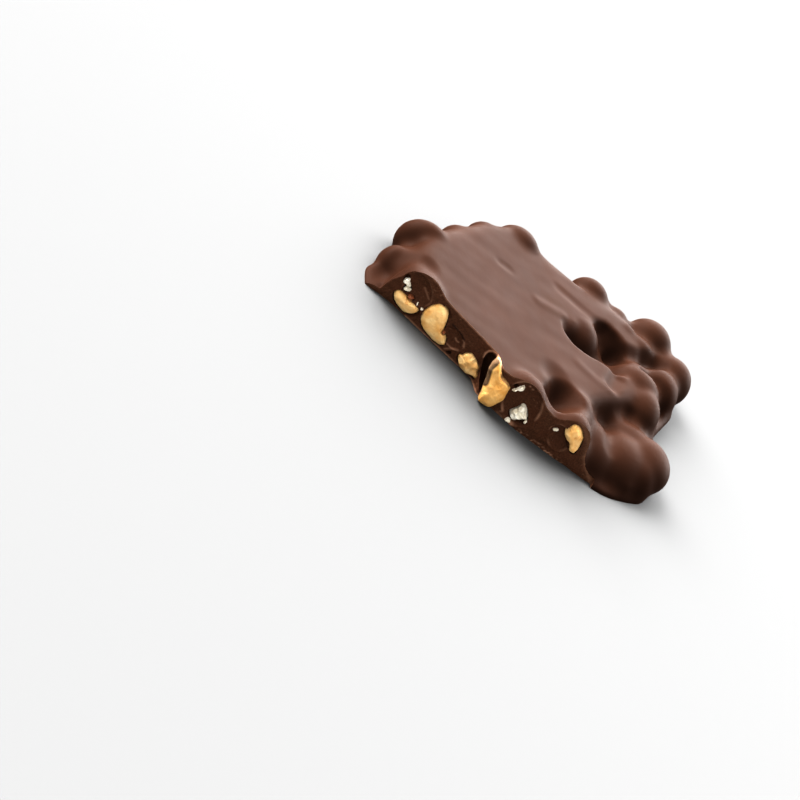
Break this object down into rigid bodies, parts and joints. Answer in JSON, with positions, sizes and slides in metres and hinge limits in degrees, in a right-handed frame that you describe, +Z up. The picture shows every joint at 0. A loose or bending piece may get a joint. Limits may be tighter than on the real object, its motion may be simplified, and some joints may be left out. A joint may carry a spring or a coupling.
{
  "type": "piece of nut chocolate bark",
  "caption": "Broken flat piece of dark chocolate bark with roasted nut meat showing in its broken edge and lumps of buried nuts on top.",
  "frame": {"origin": "middle of the piece's box, on the flat underside that it rests on", "axes": "+Z up out of the lumpy top, +X along the broken edge from its thin end to the foot lump, -Y out of the broken edge"},
  "size_m": [0.1107, 0.1005, 0.0146],
  "materials": {
    "dark_chocolate": "tempered dark chocolate with a soft satin gloss on top and a dull broken edge",
    "roasted_nut": "roasted golden nut meat, dull with an oily sheen",
    "pale_nut": "pale broken nut meat, dull"
  },
  "bodies": {
    "root": {"chocolate_slab": "dark_chocolate", "nut_crescent": "roasted_nut", "nut_round": "roasted_nut", "nut_low": "roasted_nut", "nut_proud": "roasted_nut", "nut_right": "roasted_nut", "nut_crumb": "pale_nut"}
  },
  "joints": []
}
